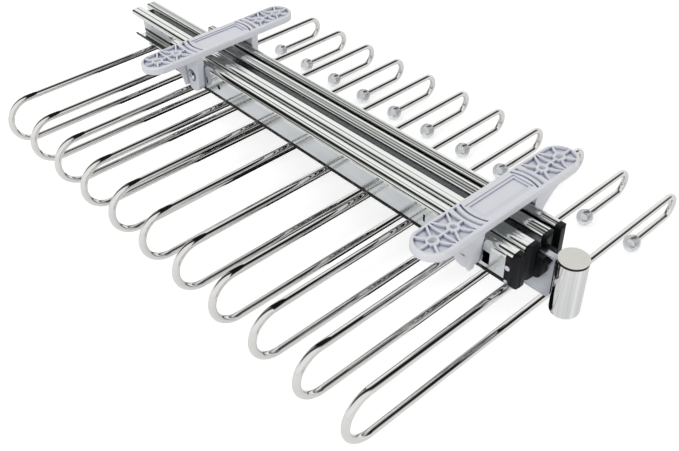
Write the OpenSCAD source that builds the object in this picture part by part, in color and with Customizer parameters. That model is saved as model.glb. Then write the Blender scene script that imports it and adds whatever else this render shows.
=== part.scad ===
// Pull-out trouser rack that hangs from a wardrobe shelf.
// +X is the side with the ball tipped hooks, +Y is the back, +Z is up.
// The origin is the middle of the screw holes, on the top faces of the two brackets.

/* [Brackets] */
// Distance between the front and the rear screw holes
bracket_spacing = 320; // [280:1:330]
// Distance between the two outer screw slots of one bracket
outer_hole_spacing = 128; // [116:1:150]
// Distance between the two inner screw holes of one bracket
inner_hole_spacing = 90; // [86:1:96]
// Width of the bracket's plate, front to back
plate_w = 28.4; // [27:0.2:34]
// Height of the plate's rim
plate_h = 6; // [5.5:0.5:9]
// Thickness of the skin under the pockets
skin = 2; // [1.4:0.1:2.6]
// Depth of the star pockets
pocket_depth = 2.4; // [1.4:0.1:2.6]
// Wall of the rim and of the gusset
bracket_wall = 2.3; // [1.6:0.1:3]
// Thickness of the star ribs
rib_t = 1.5; // [1:0.1:2]
// Diameter of the boss round each screw hole
boss_d = 9; // [7.5:0.5:10]
// Diameter of the screw holes, and width of the slots
screw_hole_d = 4.6; // [4:0.1:5.5]
// Length of the outer screw slots
screw_slot_len = 6.6; // [6:0.1:7.5]
// Rounding of the plate's upper edge
plate_edge_r = 1.2; // [0.6:0.1:1.8]
// Thickness of the cheeks beside the slides
cheek_t = 6.7; // [5:0.1:8]
// Width of a cheek where it leaves the plate
cheek_top_w = 24.4; // [20:0.2:26]
// Width of a cheek at its round lower end
cheek_low_w = 18.8; // [14:0.2:19]
// Depth of the cheeks' lower end below the middle of the slides
cheek_drop = 12.9; // [11:0.1:14]
// Radius of the gusset's hollow edge
gusset_r = 32; // [28:1:34]

/* [Slides] */
// Height of the slide's profile
slide_h = 29; // [27:0.5:35]
// Gap between the brackets' upper faces and the slides
slide_drop = 14.5; // [12:0.5:18]
// Thickness of the slide's sheet
sheet_t = 1.2; // [1:0.1:1.3]
// Rounding of the outer member's corners that face outwards
outer_corner_r = 4.5; // [3.8:0.1:4.6]
// Rounding of the drawer member's corners that face outwards
drawer_corner_r = 3.5; // [2.6:0.1:4]
// Rounding of both members' corners that face the middle
inner_corner_r = 1.6; // [1.4:0.1:2]
// Distance from the middle to the outer member's web
outer_web_x = 26.5; // [26:0.1:30]
// Width of the outer member's profile
outer_w = 9.3; // [9.2:0.1:9.6]
// Width of the drawer member's profile
drawer_w = 11.4; // [10:0.1:11.6]
// Length of the outer member
outer_len = 400; // [385:1:410]
// Length of the drawer member
drawer_len = 486.5; // [470:0.5:500]
// Front end of the outer members
slide_front_y = -194; // [-196:0.5:-190]
// How far the carriage pulls out
travel = 390; // [360:2:390]
// Diameter of the bearing balls
bearing_d = 4; // [3.6:0.1:4]
// Distance between two bearing balls of a row
bearing_pitch = 22; // [16:1:30]
// Length of a ball cage
cage_len = 188; // [160:1:190]
// Thickness of the ball cages' legs
cage_t = 0.9; // [0.7:0.1:1]
// Thickness of the ball cages' web
cage_web_t = 0.7; // [0.5:0.1:0.7]
// How far the bumpers stand in front of the intermediate members
bumper_len = 5.3; // [4:0.1:8]
// How far the plugs stand in front of the drawer members
plug_len = 4.4; // [3.4:0.1:7]
// Depth of the notch in the front end of the outer web
web_notch = 4.4; // [4:0.1:6]

/* [Centre bar] */
// Thickness of the bar
bar_t = 6; // [6:0.2:7]
// Height of the bar
bar_h = 35; // [33:0.5:37]
// Drop of the bar's top below the slides' top
bar_drop = 7.5; // [7:0.5:9]
// Wall of the bar
bar_wall = 1.2; // [1:0.1:1.5]
// Front end of the bar
bar_front_y = -211; // [-213:0.5:-209.5]

/* [Hanger wires] */
// Number of hanger wires
wire_count = 11; // [5:1:11]
// Diameter of the wire
wire_d = 6; // [5:0.2:6.4]
// Distance from the drawer members' front end to the front wire
wire_front = 8.1; // [5:0.1:12]
// Distance from the last wire to the drawer members' rear end
wire_rear = 13.4; // [6:0.1:20]
// Height of the return run's middle line
return_z = -54.6; // [-55:0.1:-54]
// Radius of the big loop on the left
loop_r = 20.9; // [16:0.1:26]
// Radius of the small hook on the right
hook_r = 10.75; // [9:0.25:14]
// Where the big loop's bend begins, left of the middle
loop_x = 142.6; // [100:1:170]
// Where the hook's bend begins, right of the middle
hook_x = 198.6; // [150:1:220]
// Length of the hook's lower run, up to the middle of its ball
hook_len = 45.8; // [25:0.2:60]
// Diameter of the ball tips
tip_d = 14; // [12:0.5:16]

/* [Handle] */
// Diameter of the handle
handle_d = 20.6; // [18:0.2:24]
// Height of the handle
handle_h = 47; // [43:0.5:60]
// Distance from the bar's end to the handle's axis
handle_reach = 11; // [10.6:0.1:14]
// Thickness of the disc on the handle
handle_disc_t = 1.6; // [1:0.1:2.5]
// Width of the shadow groove below the disc
handle_groove = 0.8; // [0.4:0.1:1.2]
// Rounding of the handle's lower edge
handle_foot_r = 3; // [1:0.5:5]

/* [Hidden] */
$fn = 48;
// Running gap between a bearing ball and its tracks
ball_gap = 0.3;
// Gap between a ball and its window in the cage
window_gap = 0.15;
// Material left between a ball window and the cage's edge
window_edge = 0.6;
// Gap between fixed pieces that pass through each other
fit_gap = 0.05;
// Gap between a wire's end and the bore of its ball
tip_gap = 0.1;
// Gap between the ends of pieces that slide past each other
end_gap = 0.3;
// Cuts reach this far past the faces that they open
cut = 1;

slide_top = -slide_drop;
slide_mid = slide_top - slide_h / 2;
slide_low = slide_top - slide_h;
plate_r = plate_w / 2;
hole_x = outer_hole_spacing / 2;
inner_x = inner_hole_spacing / 2;
pocket_in_x = 36.5;
groove_radii = [[31.6, 34.4], [27.3, 29]];
// Middle frame: half length, half width and depth of its outer step and of its recess
frame_steps = [[24.6, 8.7, 0.6], [22.4, 6.5, 1.4]];
cheek_out_x = outer_web_x + cheek_t;
cheek_bottom = slide_mid - cheek_drop;
cheek_round = cheek_low_w / 2;
// The gusset's hollow edge starts this far outside the cheek and above its lower end
gusset_out = 3.8;
gusset_up = 3.9;
gusset_x = cheek_out_x + gusset_r + gusset_out;
gusset_z = cheek_bottom + gusset_up;
plate_skin_z = -pocket_depth - skin;
// Thickness of the plate between the cheeks
middle_skin = 3.4;

outer_lip_x = outer_web_x - outer_w;
drawer_web_x = bar_t / 2;
drawer_lip_x = drawer_web_x + drawer_w;
ball_r = bearing_d / 2;
window_r = ball_r + window_gap;
ball_in_x = max(outer_corner_r, sheet_t + end_gap + window_edge + window_r);
ball_z = slide_h / 2 - sheet_t - ball_gap - ball_r;
track_r = ball_r + ball_gap;
outer_ball_x = outer_lip_x + ball_in_x;
drawer_ball_x = drawer_lip_x - ball_in_x;
// The intermediate member's shelf lies this far below the middle of the balls, and the lips end above it
shelf_drop = 1.7;
lip_gap = 0.5;
shelf_z = ball_z - shelf_drop;
lip_low = shelf_z + lip_gap;
cage_gap = 0.4;
// Smallest rounding on the inside of a bend
bend_r = 0.2;
// Moulded ends: edge round the front, and how round the front is from above
end_edge_r = 1.6;
bumper_r = 11.5;
plug_r = 16;
flute_r = 0.8;
// The bumper's tongue and its rivets: distance behind the metal's front, height over the middle, head
tongue_t = 2.3;
cap_rivet_places = [[2.2, 2.6, 4], [2.1, -9.2, 3.2]];
rivet_depth = 2;
rivet_rim = 1;
rivet_head_h = 0.7;
// The plug's nose beside the bar: reach, width, height and round lower edge, then its pointed tip
nose_step = 5.8;
nose_w = 4.2;
nose_h = 19;
nose_low_r = 5;
tip_w = 2.6;
tip_len = 3.4;
tip_h = 9;
tip_edge = 1;
rib_x = (outer_lip_x + drawer_lip_x) / 2;
// The cages lag a quarter of the travel behind, and stop this far from the member's end
cage_stop = 4;
cage_front_y = slide_front_y + travel / 4 + cage_stop;
rear_y = slide_front_y + outer_len;
middle_front_y = slide_front_y - end_gap;
carriage_front_y = middle_front_y - end_gap;
carriage_rear_y = carriage_front_y + drawer_len;

cheek_screw_z = slide_mid + 2.5;
cheek_screw_d = 4;
cheek_head_d = 8.6;
cheek_head_h = 2.4;
// Height of the head's straight rim, and width of its flat top
cheek_head_rim = 0.8;
cheek_head_top_d = 6;
cheek_sink = 0.8;
// Recess in the cheek round the head, wider than the head by this much
cheek_recess = 3;
// Cross slots: length, width and depth
cheek_cross = [4.4, 1, 1.2];
bar_cross = [3.6, 0.8, 0.7];
// Cut-outs of the outer web: place along Y, width, height and drop from the middle line
web_windows = [[-173.8, 6.4, 10.3], [146.9, 1.8, 6.2], [-118, 1.8, 6.2]];
// Half height of the notch at the web's front end
notch_half_h = 12.3;
// Fine rolled groove along the top and the bottom of each member: side of its square cutter
roll_side = 0.6;
// Round holes of the outer web: place along Y and diameter
web_holes = [[129, 4.2], [-139, 4.2]];
// Slots near the rear end of the drawer web: distance from the rear end
drawer_slots = [17, 35.3];
drawer_slot_w = 1.4;
drawer_slot_h = 5;
// Screws of the drawer members: distances from the front and the rear end
bar_screw_front = 34.5;
bar_screw_rear = 50;
bar_screw_ends = [carriage_front_y + bar_screw_front, carriage_rear_y - bar_screw_rear];
bar_screw_places = [bar_screw_ends[0], (bar_screw_ends[0] + bar_screw_ends[1]) / 2, bar_screw_ends[1]];
bar_screw_d = 4;
bar_screw_head_d = 7.4;

bar_edge_r = 0.8;
// Rounding of the bar's lower front corner
bar_corner_r = 5;
wire_pitch = (drawer_len - wire_front - wire_rear) / (wire_count - 1);
first_wire_y = carriage_front_y + wire_front;
bar_top = slide_top - bar_drop;
bar_low = bar_top - bar_h;
main_z = return_z - 2 * loop_r;
hook_z = main_z - 2 * hook_r;
wire_r = wire_d / 2;

handle_y = bar_front_y - handle_reach;
handle_r = handle_d / 2;
handle_top = slide_top;
handle_low = handle_top - handle_h;
handle_body_top = handle_top - handle_disc_t - handle_groove;
// The disc's spigot in the handle: wall round it, depth of its seat and its own length
handle_wall = 1.8;
spigot_seat = 3.2;
spigot_len = 1.2;
spigot_r = handle_r - handle_wall;
insert_t = bar_t - 2 * bar_wall - 2 * fit_gap;
insert_neck_t = 5.4;
insert_drop = 0.6;
insert_top = bar_top - insert_drop;
insert_h = 10;
insert_len_in_bar = 16;
// The insert's end and its screw, measured from the handle's axis
insert_end = 2.6;
insert_hole = 5;
insert_end_y = handle_y + insert_end;
insert_hole_y = handle_y + insert_hole;
handle_screw_d = 3;
handle_screw_head_d = 5.6;
handle_screw_head_h = 1.8;

plastic_grey = "#d9d9df";
zinc = "#b9c2c6";
black = "#1d1e21";
chrome = "#dfe2e4";

sides = [["left", -1], ["right", 1]];

// Shared shapes

// A profile drawn in X and Z, run along Y
module run_y(y0, y1) {
    translate([0, y1, 0])
        rotate([90, 0, 0])
            linear_extrude(y1 - y0)
                children();
}

// An outline drawn in Y and Z, run along X
module run_x(x0, x1) {
    translate([x0, 0, 0])
        rotate([90, 0, 90])
            linear_extrude(x1 - x0)
                children();
}

// A rectangle between two X and two Z values, with round corners of one radius at x0 and another at x1
module round_rect(x0, x1, z0, z1, r0, r1) {
    translate([x0 + r0, z0])
        square([x1 - x0 - r0 - r1, z1 - z0]);
    translate([x0, z0 + r0])
        square([x1 - x0 - r1, z1 - z0 - 2 * r0]);
    translate([x0 + r0, z0 + r1])
        square([x1 - x0 - r0, z1 - z0 - 2 * r1]);
    for (end = [[x0 + r0, r0], [x1 - r1, r1]], z = [z0 + end[1], z1 - end[1]])
        translate([end[0], z])
            circle(end[1]);
}

// A rectangle in Y and Z whose lower front corner is round
module round_side(y0, y1, z0, z1, r) {
    translate([y0 + r, z0])
        square([y1 - y0 - r, z1 - z0]);
    translate([y0, z0 + r])
        square([y1 - y0, z1 - z0 - r]);
    translate([y0 + r, z0 + r])
        circle(r);
}

// One side of the rack: 1 for right, -1 for left
module on_side(side) {
    mirror([side < 0 ? 1 : 0, 0, 0])
        children();
}

// A round hole or pin along X
module pin_x(x0, x1, d) {
    translate([x0, 0, 0])
        rotate([0, 90, 0])
            cylinder(h = x1 - x0, d = d);
}

// Brackets

module stadium(r) {
    translate([-hole_x, -r])
        square([2 * hole_x, 2 * r]);
    for (x = [-hole_x, hole_x])
        translate([x, 0])
            circle(r);
}

module plate_half_section() {
    translate([0, -plate_h])
        square([plate_r - plate_edge_r, plate_h]);
    translate([0, -plate_h])
        square([plate_r, plate_h - plate_edge_r]);
    translate([plate_r - plate_edge_r, -plate_edge_r])
        circle(plate_edge_r);
}

module plate_blank() {
    run_x(-hole_x, hole_x) {
        plate_half_section();
        mirror([1, 0])
            plate_half_section();
    }
    for (end = [[hole_x, -90], [-hole_x, 90]])
        translate([end[0], 0, 0])
            rotate([0, 0, end[1]])
                rotate_extrude(angle = 180)
                    intersection() {
                        plate_half_section();
                        translate([0, -plate_h])
                            square([plate_r, plate_h]);
                    }
}

// Six ribs that leave a screw hole, kept inside the hole's own cell
module star(x, cell_x0, cell_x1) {
    intersection() {
        translate([cell_x0, -plate_r])
            square([cell_x1 - cell_x0, plate_w]);
        translate([x, 0]) {
            circle(d = boss_d);
            for (a = [0, 60, 120])
                rotate(a)
                    square([2 * plate_w, rib_t], center = true);
        }
    }
}

// The pockets of one pad, between its ribs
module pad_pockets() {
    cell_x = (hole_x + inner_x) / 2;
    difference() {
        intersection() {
            stadium(plate_r - bracket_wall);
            translate([pocket_in_x, -plate_r])
                square([hole_x, plate_w]);
        }
        star(inner_x, pocket_in_x - cut, cell_x);
        star(hole_x, cell_x, hole_x + plate_w);
        translate([cell_x - rib_t / 2, -plate_r])
            square([rib_t, plate_w]);
    }
}

// Two curved grooves between a pad and the middle frame
module groove_rings() {
    intersection() {
        translate([0, -plate_r + bracket_wall])
            square([hole_x, plate_w - 2 * bracket_wall]);
        for (ring = groove_radii)
            difference() {
                circle(ring[1], $fn = 96);
                circle(ring[0], $fn = 96);
            }
    }
}

module screw_holes_2d() {
    translate([inner_x, 0])
        circle(d = screw_hole_d);
    for (s = [-1, 1])
        translate([hole_x + s * (screw_slot_len - screw_hole_d) / 2, 0])
            circle(d = screw_hole_d);
    translate([hole_x - (screw_slot_len - screw_hole_d) / 2, -screw_hole_d / 2])
        square([screw_slot_len - screw_hole_d, screw_hole_d]);
}

// The hollow below one wing of the plate
module wing_hollow() {
    difference() {
        intersection() {
            stadium(plate_r - bracket_wall);
            translate([cheek_out_x + bracket_wall, -plate_r])
                square([hole_x, plate_w]);
        }
        for (x = [inner_x, hole_x])
            translate([x, 0])
                circle(d = boss_d);
    }
}

module cheek_outline() {
    polygon([
        [-cheek_top_w / 2, plate_skin_z],
        [cheek_top_w / 2, plate_skin_z],
        [cheek_round, cheek_bottom + cheek_round],
        [-cheek_round, cheek_bottom + cheek_round]
    ]);
    translate([0, cheek_bottom + cheek_round])
        circle(cheek_round);
}

// A sloping web that closes the outer side of the wing
module gusset() {
    slope_low = cheek_bottom + cheek_round;
    intersection() {
        run_x(cheek_out_x - cut, gusset_x)
            polygon([
                [-cheek_top_w / 2, plate_skin_z],
                [-cheek_top_w / 2 + bracket_wall, plate_skin_z],
                [-cheek_round + bracket_wall, slope_low],
                [-cheek_round + bracket_wall, cheek_bottom],
                [-cheek_round, cheek_bottom],
                [-cheek_round, slope_low]
            ]);
        run_y(-plate_w, plate_w)
            difference() {
                translate([cheek_out_x - cut, gusset_z])
                    square([gusset_x - cheek_out_x + cut, plate_skin_z - gusset_z]);
                translate([gusset_x, gusset_z])
                    circle(gusset_r, $fn = 96);
            }
    }
}

module half_bracket_cuts() {
    translate([0, 0, -pocket_depth])
        linear_extrude(pocket_depth + cut)
            pad_pockets();
    translate([0, 0, -pocket_depth])
        linear_extrude(pocket_depth + cut)
            groove_rings();
    translate([0, 0, -plate_h - cut])
        linear_extrude(plate_h + 2 * cut)
            screw_holes_2d();
    translate([0, 0, -plate_h - cut])
        linear_extrude(plate_h + cut + plate_skin_z)
            wing_hollow();
    translate([0, 0, cheek_screw_z]) {
        pin_x(outer_web_x - cut, cheek_out_x + cut, cheek_screw_d + 2 * window_gap);
        pin_x(cheek_out_x - cheek_sink, cheek_out_x + plate_w, cheek_head_d + cheek_recess);
    }
}

// Bracket round its own middle, with its closed side towards -Y
module bracket() {
    color(plastic_grey)
        difference() {
            union() {
                plate_blank();
                for (s = [-1, 1])
                    on_side(s) {
                        run_x(outer_web_x, cheek_out_x)
                            cheek_outline();
                        gusset();
                    }
            }
            for (s = [-1, 1])
                on_side(s)
                    half_bracket_cuts();
            for (step = frame_steps)
                translate([-step[0], -step[1], -step[2]])
                    cube([2 * step[0], 2 * step[1], step[2] + cut]);
            translate([-outer_web_x, -plate_r + bracket_wall, -plate_h - cut])
                cube([2 * outer_web_x, plate_w - 2 * bracket_wall, cut + plate_h - middle_skin]);
        }
}

module front_bracket() {
    translate([0, -bracket_spacing / 2, 0])
        bracket();
}

module rear_bracket() {
    translate([0, bracket_spacing / 2, 0])
        rotate(180)
            bracket();
}

// Pan head screws that hold the slides in the cheeks
module cheek_screw() {
    rim_x = cheek_out_x + cheek_head_rim;
    head_end = cheek_out_x + cheek_head_h - cheek_sink;
    difference() {
        union() {
            pin_x(outer_web_x - sheet_t, cheek_out_x, cheek_screw_d);
            pin_x(cheek_out_x - cheek_sink, rim_x, cheek_head_d);
            translate([rim_x, 0, 0])
                rotate([0, 90, 0])
                    cylinder(h = head_end - rim_x, d1 = cheek_head_d, d2 = cheek_head_top_d);
        }
        cross_slots(head_end, cheek_cross);
    }
}

// Two crossed slots cut into a head whose top is at x
module cross_slots(x, size) {
    for (a = [0, 90])
        rotate([a, 0, 0])
            translate([x - size[2], -size[0] / 2, -size[1] / 2])
                cube([size[2] + cut, size[0], size[1]]);
}

module cheek_screws() {
    color(chrome)
        for (s = [-1, 1], y = [-bracket_spacing / 2, bracket_spacing / 2])
            on_side(s)
                translate([0, y, cheek_screw_z])
                    cheek_screw();
}

// Slides

// The outline of a slide member, less a margin on all sides
module member_outline(x0, x1, r, margin) {
    round_rect(x0 + margin, x1 - margin, slide_low + margin, slide_top - margin,
        max(inner_corner_r - margin, bend_r), r - margin);
}

// Sheet profile that wraps the balls: a web on one side and two lips on the other
module member_profile(web_x, lip_x, r) {
    x0 = min(web_x, lip_x);
    x1 = max(web_x, lip_x);
    mouth_x = web_x > lip_x ? lip_x - cut : lip_x - sheet_t - cut;
    difference() {
        member_outline(x0, x1, r, 0);
        member_outline(x0, x1, r, sheet_t);
        translate([mouth_x, slide_mid - lip_low])
            square([sheet_t + 2 * cut, 2 * lip_low]);
        for (z = [slide_low, slide_top])
            translate([(x0 + x1) / 2, z])
                rotate(45)
                    square([roll_side, roll_side], center = true);
    }
}

// Rounded H profile that runs inside both members, with a track for each row of balls
module intermediate_profile() {
    outer_end = outer_web_x - sheet_t - 2 * cage_gap - cage_web_t;
    inner_end = drawer_web_x + sheet_t + 2 * cage_gap + cage_web_t;
    translate([0, slide_mid]) {
        translate([rib_x - sheet_t, -shelf_z])
            square([2 * sheet_t, 2 * shelf_z]);
        for (s = [-1, 1])
            mirror([0, s < 0 ? 1 : 0])
                difference() {
                    union() {
                        translate([inner_end, shelf_z - sheet_t])
                            square([outer_end - inner_end, sheet_t]);
                        intersection() {
                            for (x = [outer_ball_x, drawer_ball_x])
                                translate([x, ball_z])
                                    circle(track_r + sheet_t);
                            translate([inner_end, 0])
                                square([outer_end - inner_end, shelf_z]);
                        }
                    }
                    for (x = [outer_ball_x, drawer_ball_x])
                        translate([x, ball_z])
                            circle(track_r);
                }
    }
}

module outer_member(side) {
    color(zinc)
        on_side(side)
            difference() {
                run_y(slide_front_y, rear_y)
                    member_profile(outer_web_x, outer_lip_x, outer_corner_r);
                for (w = web_windows)
                    translate([outer_web_x - sheet_t - cut, w[0] - w[1] / 2, slide_mid - w[2] / 2])
                        cube([sheet_t + 2 * cut, w[1], w[2]]);
                translate([outer_web_x - tongue_t, slide_front_y - cut, slide_mid - notch_half_h])
                    cube([tongue_t + cut, web_notch + cut, 2 * notch_half_h]);
                for (h = web_holes)
                    translate([0, h[0], slide_mid])
                        pin_x(outer_web_x - sheet_t - cut, outer_web_x + cut, h[1]);
                for (y = [-bracket_spacing / 2, bracket_spacing / 2])
                    translate([0, y, cheek_screw_z])
                        pin_x(outer_web_x - sheet_t - cut, outer_web_x + cut, cheek_screw_d + 2 * fit_gap);
            }
}

module intermediate_member(side) {
    color(zinc)
        on_side(side)
            run_y(middle_front_y, rear_y)
                intermediate_profile();
}

module drawer_member(side) {
    color(zinc)
        on_side(side)
            difference() {
                run_y(carriage_front_y, carriage_rear_y)
                    member_profile(drawer_web_x, drawer_lip_x, drawer_corner_r);
                for (back = drawer_slots)
                    translate([drawer_web_x - cut, carriage_rear_y - back, slide_mid - drawer_slot_h / 2])
                        cube([sheet_t + 2 * cut, drawer_slot_w, drawer_slot_h]);
                for (y = bar_screw_places)
                    translate([0, y, slide_mid])
                        bar_screw_shape(fit_gap, cut);
            }
}

// Cage of thin sheet that keeps two rows of balls apart
module ball_cage(side, web_x, lip_x, ball_x, r) {
    outward = web_x > ball_x ? 1 : -1;
    web_in = web_x - outward * (sheet_t + cage_gap);
    web_out = web_in - outward * cage_web_t;
    leg_end = ball_x - outward * (window_r + window_edge);
    color("#8f9698")
        on_side(side)
            difference() {
                run_y(cage_front_y, cage_front_y + cage_len)
                    intersection() {
                        translate([0, slide_mid]) {
                            translate([min(web_in, web_out), -ball_z - cage_t / 2])
                                square([cage_web_t, 2 * ball_z + cage_t]);
                            for (z = [-1, 1])
                                translate([min(web_in, leg_end), z * ball_z - cage_t / 2])
                                    square([abs(web_in - leg_end), cage_t]);
                        }
                        member_outline(min(web_x, lip_x), max(web_x, lip_x), r, sheet_t + cage_gap);
                    }
                for (y = ball_places(), z = [-1, 1])
                    translate([ball_x, y, slide_mid + z * ball_z - cage_t])
                        cylinder(h = 2 * cage_t, r = window_r);
            }
}

module outer_ball_cage(side) {
    ball_cage(side, outer_web_x, outer_lip_x, outer_ball_x, outer_corner_r);
}

module drawer_ball_cage(side) {
    ball_cage(side, drawer_web_x, drawer_lip_x, drawer_ball_x, drawer_corner_r);
}

function ball_places() =
    let (count = floor((cage_len - bearing_d * 2) / bearing_pitch))
    [for (i = [0:count]) cage_front_y + cage_len / 2 + (i - count / 2) * bearing_pitch];

module bearing_balls(side, ball_x) {
    color(chrome)
        on_side(side)
            for (y = ball_places(), z = [-1, 1])
                translate([ball_x, y, slide_mid + z * ball_z])
                    sphere(ball_r);
}

// A moulded end: the slide's outline, with a front that is round from the side, and from above beside near_x
module moulded_end(x0, x1, r, front_y, back_y, near_x, round_r) {
    intersection() {
        run_y(front_y, back_y)
            member_outline(x0, x1, r, 0);
        run_x(x0, x1)
            round_rect(front_y, back_y + end_edge_r, slide_low, slide_top, end_edge_r, end_edge_r);
        translate([near_x + end_edge_r, front_y + round_r, slide_low])
            cylinder(h = slide_h, r = round_r, $fn = 128);
    }
}

// Black bumper in front of the intermediate member, with a tongue in the notch of the outer web
module intermediate_end_cap(side) {
    nose_y = middle_front_y - bumper_len;
    color(black)
        on_side(side)
            difference() {
                union() {
                    moulded_end(outer_lip_x, outer_web_x, outer_corner_r, nose_y, middle_front_y,
                        outer_lip_x, bumper_r);
                    intersection() {
                        run_y(middle_front_y - cut, slide_front_y + web_notch - end_gap)
                            member_outline(outer_lip_x, outer_web_x, outer_corner_r, 0);
                        run_x(outer_web_x - tongue_t + end_gap, outer_web_x)
                            translate([middle_front_y - cut, slide_mid - notch_half_h + end_gap])
                                square([web_notch + 2 * cut, 2 * (notch_half_h - end_gap)]);
                    }
                }
                for (r = cap_rivet_places)
                    translate([0, middle_front_y + r[0], slide_mid + r[1]])
                        pin_x(outer_web_x - rivet_depth, outer_web_x + cut, r[2] - rivet_rim);
                translate([(outer_lip_x + outer_web_x) / 2, nose_y, slide_low - cut])
                    cylinder(h = slide_h + 2 * cut, r = flute_r);
            }
}

module cap_rivets(side) {
    color(chrome)
        on_side(side)
            for (r = cap_rivet_places)
                translate([0, middle_front_y + r[0], slide_mid + r[1]]) {
                    pin_x(outer_web_x - rivet_depth, outer_web_x, r[2] - rivet_rim);
                    pin_x(outer_web_x, outer_web_x + rivet_head_h, r[2]);
                }
}

// Black plug in front of the drawer member, with a stepped nose beside the bar's end
module drawer_end_cap(side) {
    nose_y = carriage_front_y - plug_len;
    step_y = nose_y - nose_step;
    top = bar_top - end_gap;
    color(black)
        on_side(side) {
            difference() {
                moulded_end(drawer_web_x, drawer_lip_x, drawer_corner_r, nose_y, carriage_front_y,
                    drawer_web_x, plug_r);
                translate([(drawer_web_x + drawer_lip_x) / 2, nose_y, slide_low - cut])
                    cylinder(h = slide_h + 2 * cut, r = flute_r);
            }
            run_x(drawer_web_x, drawer_web_x + nose_w)
                round_side(step_y, nose_y + plug_len / 2, top - nose_h, top, nose_low_r);
            run_x(drawer_web_x, drawer_web_x + tip_w)
                polygon([
                    [step_y + tip_edge, top - tip_edge],
                    [step_y - tip_len / 2, top - 2 * tip_edge],
                    [step_y - tip_len, top - 3.5 * tip_edge],
                    [step_y + tip_edge, top - tip_h]
                ]);
        }
}

// Centre bar and its screws

// Countersunk screw along X whose head lies flush in the drawer web
module bar_screw_shape(gap, over) {
    head_x = drawer_web_x + sheet_t;
    pin_x(drawer_web_x - bar_wall - over, head_x, bar_screw_d + 2 * gap);
    translate([drawer_web_x, 0, 0])
        rotate([0, 90, 0])
            cylinder(h = sheet_t, d1 = bar_screw_d + 2 * gap, d2 = bar_screw_head_d + 2 * gap);
    if (over > 0)
        pin_x(head_x, head_x + over, bar_screw_head_d + 2 * gap);
}

module bar_screws() {
    color("#c9b478")
        for (s = [-1, 1], y = bar_screw_places)
            on_side(s)
                translate([0, y, slide_mid])
                    difference() {
                        bar_screw_shape(0, 0);
                        cross_slots(drawer_web_x + sheet_t, bar_cross);
                    }
}

module centre_bar() {
    color(zinc)
        difference() {
            intersection() {
                run_y(bar_front_y, carriage_rear_y)
                    difference() {
                        round_rect(-bar_t / 2, bar_t / 2, bar_low, bar_top, bar_edge_r, bar_edge_r);
                        translate([-bar_t / 2 + bar_wall, bar_low + bar_wall])
                            square([bar_t - 2 * bar_wall, bar_h - 2 * bar_wall]);
                    }
                run_x(-bar_t, bar_t)
                    round_side(bar_front_y, carriage_rear_y, bar_low, bar_top, bar_corner_r);
            }
            for (i = [0:wire_count - 1])
                translate([0, first_wire_y + i * wire_pitch, return_z]) {
                    pin_x(-bar_t, bar_t, wire_d + 2 * fit_gap);
                    translate([-bar_t, -wire_r - fit_gap, -bar_h])
                        cube([2 * bar_t, wire_d + 2 * fit_gap, bar_h]);
                }
            for (y = bar_screw_places)
                translate([0, y, slide_mid])
                    pin_x(-bar_t, bar_t, bar_screw_d + 2 * fit_gap);
        }
}

// Hanger wires

// Half turn in the XZ plane round a point, from the side that faces +X or -X
module half_turn(x, z, r, side) {
    translate([x, 0, z])
        rotate([90, 0, 0])
            rotate([0, 0, side > 0 ? -90 : 90])
                rotate_extrude(angle = 180, $fn = 64)
                    translate([r, 0])
                        circle(wire_r);
}

module wire_run(x0, x1, z) {
    translate([0, 0, z])
        pin_x(x0, x1, wire_d);
}

module hanger_wire(number) {
    color(chrome)
        translate([0, first_wire_y + (number - 1) * wire_pitch, 0]) {
            wire_run(-loop_x, bar_t / 2, return_z);
            half_turn(-loop_x, main_z + loop_r, loop_r, -1);
            wire_run(-loop_x, hook_x, main_z);
            half_turn(hook_x, main_z - hook_r, hook_r, 1);
            wire_run(hook_x - hook_len, hook_x, hook_z);
        }
}

// Clear balls pushed over the wires' ends
module ball_tips() {
    color("#e9edf0", 0.6)
        for (i = [0:wire_count - 1])
            translate([hook_x - hook_len, first_wire_y + i * wire_pitch, hook_z])
                difference() {
                    sphere(d = tip_d, $fn = 64);
                    pin_x(-tip_gap, tip_d, wire_d + 2 * tip_gap);
                }
}

// Handle

module handle() {
    color(chrome)
        difference() {
            translate([0, handle_y, 0])
                rotate_extrude($fn = 96)
                    difference() {
                        union() {
                            translate([0, handle_low])
                                square([handle_r - handle_foot_r, handle_body_top - handle_low]);
                            translate([0, handle_low + handle_foot_r])
                                square([handle_r, handle_body_top - handle_low - handle_foot_r]);
                            translate([handle_r - handle_foot_r, handle_low + handle_foot_r])
                                intersection() {
                                    circle(handle_foot_r);
                                    translate([0, -handle_foot_r])
                                        square([handle_foot_r, handle_foot_r]);
                                }
                        }
                        translate([0, handle_body_top - spigot_seat])
                            square([spigot_r + fit_gap, spigot_seat + cut]);
                    }
            insert_slot();
            translate([0, insert_hole_y, handle_body_top - spigot_seat - handle_screw_head_h])
                cylinder(h = handle_h, d = handle_screw_head_d + 2 * fit_gap);
            translate([0, insert_hole_y, insert_top - insert_h])
                cylinder(h = handle_h, d = handle_screw_d + 2 * fit_gap);
        }
}

// Slot in the handle's back that takes the insert's neck
module insert_slot() {
    translate([-insert_neck_t / 2 - fit_gap, insert_end_y - fit_gap, insert_top - insert_h - fit_gap])
        cube([insert_neck_t + 2 * fit_gap, handle_r, insert_h + 2 * fit_gap]);
}

module handle_cap() {
    color("#dedcd3")
        translate([0, handle_y, 0]) {
            translate([0, 0, handle_top - handle_disc_t])
                cylinder(h = handle_disc_t, r = handle_r, $fn = 96);
            translate([0, 0, handle_body_top - spigot_len])
                cylinder(h = handle_groove + spigot_len, r = spigot_r, $fn = 96);
        }
}

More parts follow.
